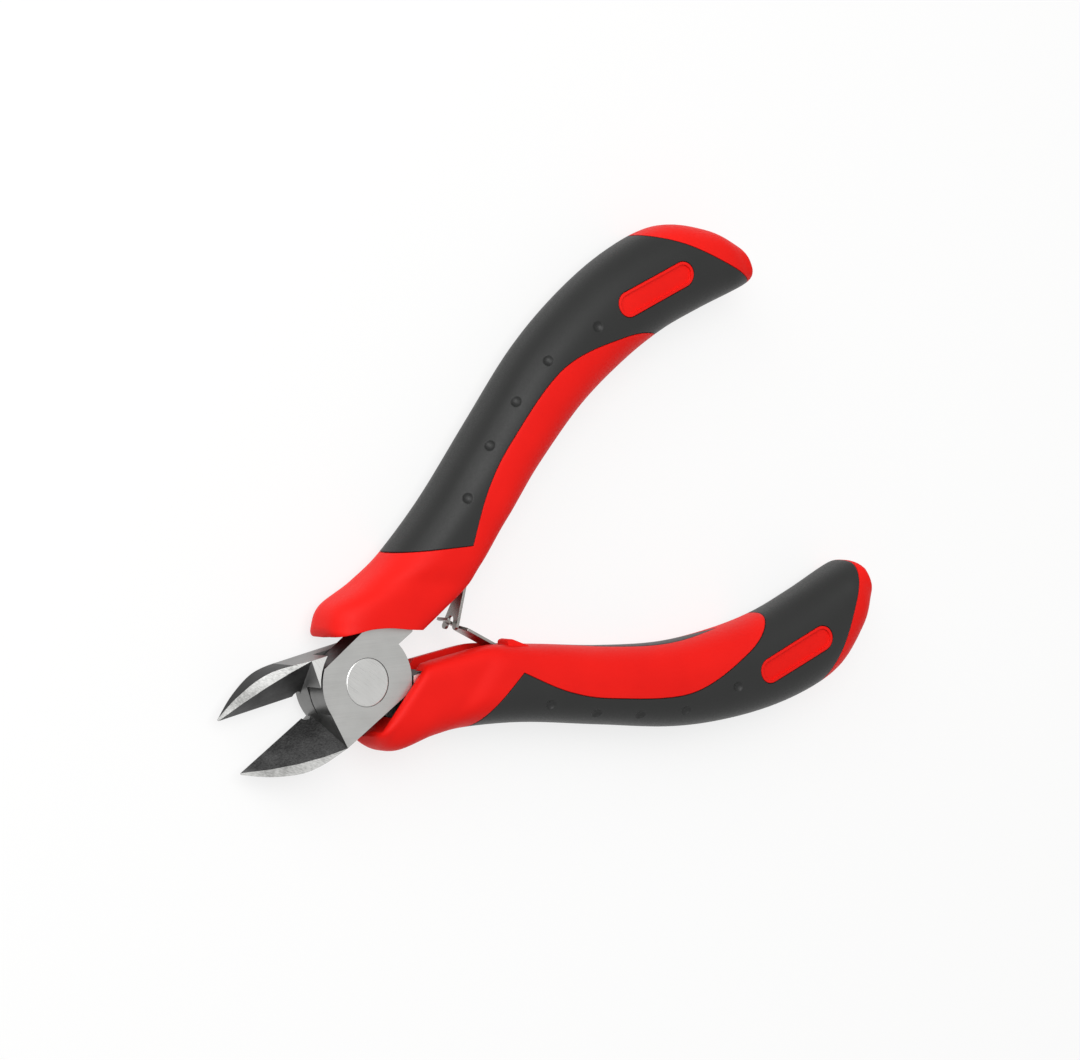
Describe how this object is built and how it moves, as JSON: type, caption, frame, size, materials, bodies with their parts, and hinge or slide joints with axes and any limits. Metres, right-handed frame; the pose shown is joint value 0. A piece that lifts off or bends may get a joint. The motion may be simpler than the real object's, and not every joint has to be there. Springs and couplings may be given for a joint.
{
  "type": "side cutters",
  "caption": "Mini diagonal side cutters: lap-jointed bevelled jaws on a flush rivet, bowed soft-covered grips and a hooked leaf return spring.",
  "frame": {"origin": "middle of the outline, on the plane that the grips rest on", "axes": "+X from the jaws towards the handle ends, +Y towards the handle of the front lever, +Z along the pivot axis out of the front plate"},
  "size_m": [0.109, 0.0762, 0.0122],
  "materials": {
    "ground_steel": "satin ground faces with dark oxide in the unground bevels",
    "rivet_steel": "turned flush with the plates",
    "spring_steel": "hardened strip, smooth",
    "grip_red": "moulded hard plastic, satin",
    "grip_black": "moulded soft elastomer, matt"
  },
  "bodies": {
    "front_half": {"front_lever": "ground_steel", "pivot_rivet": "rivet_steel", "upper_grip_core": "grip_red", "upper_grip_cover": "grip_black", "upper_grip_inlay": "grip_black", "upper_spring_pin": "spring_steel"},
    "rear_half": {"rear_lever": "ground_steel", "lower_grip_core": "grip_red", "lower_grip_cover": "grip_black", "lower_grip_inlay": "grip_black", "lower_spring_pin": "spring_steel"},
    "upper_leaf": {"upper_leaf_spring": "spring_steel"},
    "lower_leaf": {"lower_leaf_spring": "spring_steel"}
  },
  "joints": [
    {"name": "handle_pivot", "type": "hinge", "parent": "front_half", "child": "rear_half", "pos_m": [-0.03356, 0, 0.0061], "axis": [0, 0, 1], "range_deg": [0, 22.4], "stiffness_Nm_per_rad": 0.6, "springref_deg": -17.19},
    {"name": "upper_leaf_turn", "type": "hinge", "parent": "front_half", "child": "upper_leaf", "pos_m": [-0.00819, 0.00882, 0.0061], "axis": [0, 0, 1], "range_deg": [-21.3, 0]},
    {"name": "lower_leaf_turn", "type": "hinge", "parent": "rear_half", "child": "lower_leaf", "pos_m": [-0.00819, -0.00882, 0.0061], "axis": [0, 0, 1], "range_deg": [0, 21.3]}
  ],
  "couplings": [
    {"joint": "upper_leaf_turn", "follows": "handle_pivot", "ratio": -0.94755},
    {"joint": "lower_leaf_turn", "follows": "handle_pivot", "ratio": 0.94755}
  ]
}
